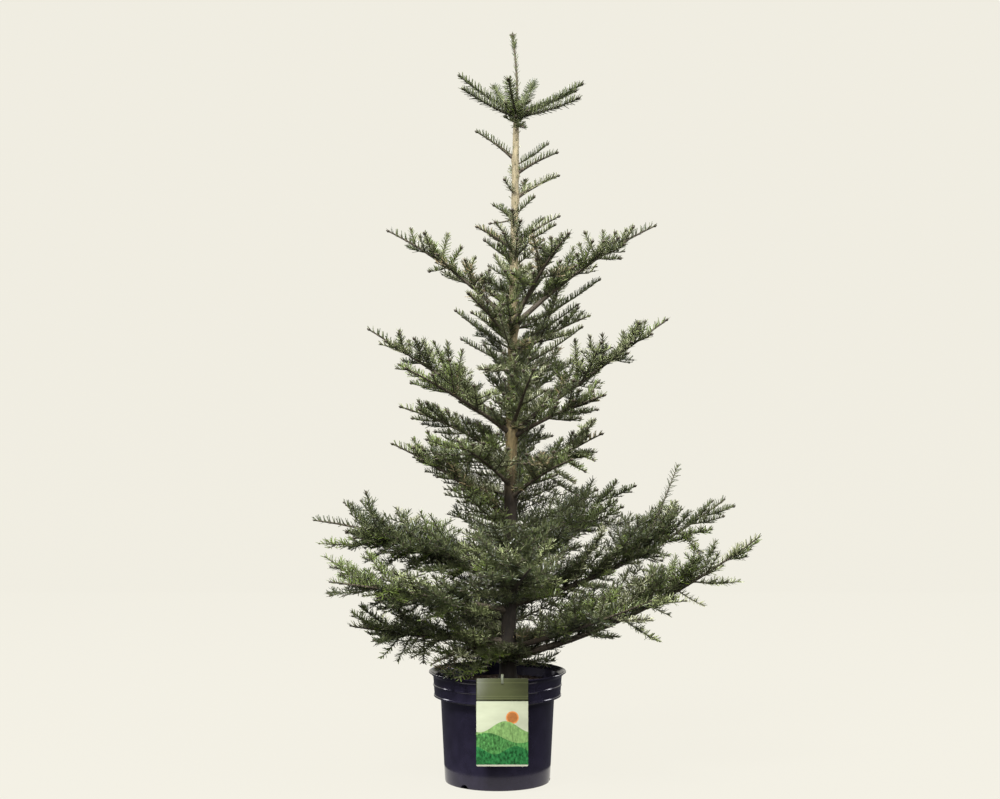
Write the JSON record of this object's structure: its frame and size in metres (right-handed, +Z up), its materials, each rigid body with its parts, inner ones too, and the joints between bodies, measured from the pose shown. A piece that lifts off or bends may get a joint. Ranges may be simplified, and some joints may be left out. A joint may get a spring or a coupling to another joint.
{
  "type": "potted fir tree",
  "caption": "Young potted conifer: a straight tapering trunk, tiers of upswept needled boughs, a leader above the top whorl, and a round dark nursery pot of soil with a hanging card.",
  "frame": {"origin": "centre of the pot's flat underside", "axes": "+Z up along the trunk, +X to the right of the side that carries the card, which faces -Y"},
  "size_m": [0.9057, 0.7477, 1.533],
  "materials": {
    "bark": "rough brown bark with olive and grey patches",
    "bough_bark": "rough brown bark",
    "twig_bark": "pale brown young bark",
    "needles_deep": "dark green needles, satin",
    "needles_green": "mid green needles, satin",
    "needles_bright": "bright green needles, satin",
    "needles_grey": "grey-green needles, satin",
    "needles_brown": "dry brown needles, matt",
    "buds": "brown resinous buds",
    "pot_plastic": "glossy dark plastic",
    "soil": "dark damp compost, matt",
    "tag_card": "printed glossy card",
    "tag_clip": "pale plastic"
  },
  "bodies": {
    "root": {"trunk": "bark", "bough_low_right": "bough_bark", "bough_low_left": "bough_bark", "bough_low_front": "bough_bark", "bough_low_front_right": "bough_bark", "bough_low_back": "bough_bark", "bough_wide_left": "bough_bark", "bough_wide_right": "bough_bark", "bough_wide_front_left": "bough_bark", "bough_wide_front": "bough_bark", "bough_wide_back_left": "bough_bark", "bough_wide_back_right": "bough_bark", "bough_mid_left_plain": "bough_bark", "bough_mid_right": "bough_bark", "bough_third_left": "bough_bark", "bough_third_right": "bough_bark", "bough_third_low_right": "bough_bark", "bough_third_back_left": "bough_bark", "bough_second_left": "bough_bark", "bough_second_right": "bough_bark", "bough_second_front": "bough_bark", "foliage_low_right": "needles_green", "foliage_low_left": "needles_green", "foliage_low_front": "needles_green", "foliage_low_front_right": "needles_green", "foliage_low_back": "needles_green", "foliage_wide_left": "needles_green", "foliage_wide_right": "needles_green", "foliage_wide_front_left": "needles_green", "foliage_wide_front": "needles_green", "foliage_wide_back_left": "needles_green", "foliage_wide_back_right": "needles_green", "foliage_mid_left_plain": "needles_green", "foliage_mid_right": "needles_green", "foliage_mid_left": "needles_green", "foliage_mid_front_left": "needles_green", "foliage_mid_front_right": "needles_green", "foliage_mid_back": "needles_green", "foliage_third_left": "needles_green", "foliage_third_right": "needles_green", "foliage_third_low_right": "needles_green", "foliage_third_back_left": "needles_green", "foliage_third_front_left": "needles_green", "foliage_third_front": "needles_green", "foliage_third_back": "needles_green", "foliage_second_left": "needles_green", "foliage_second_right": "needles_green", "foliage_second_front": "needles_green", "foliage_second_front_left": "needles_green", "foliage_second_back": "needles_green", "foliage_second_low_right": "needles_green", "foliage_twig_left": "needles_green", "foliage_twig_right": "needles_green", "foliage_twig_back": "needles_green", "foliage_twig_fork": "needles_green", "foliage_twig_front_left": "needles_green", "foliage_top": "needles_green", "pot": "pot_plastic", "soil": "soil", "plant_tag": "tag_card"}
  },
  "joints": []
}
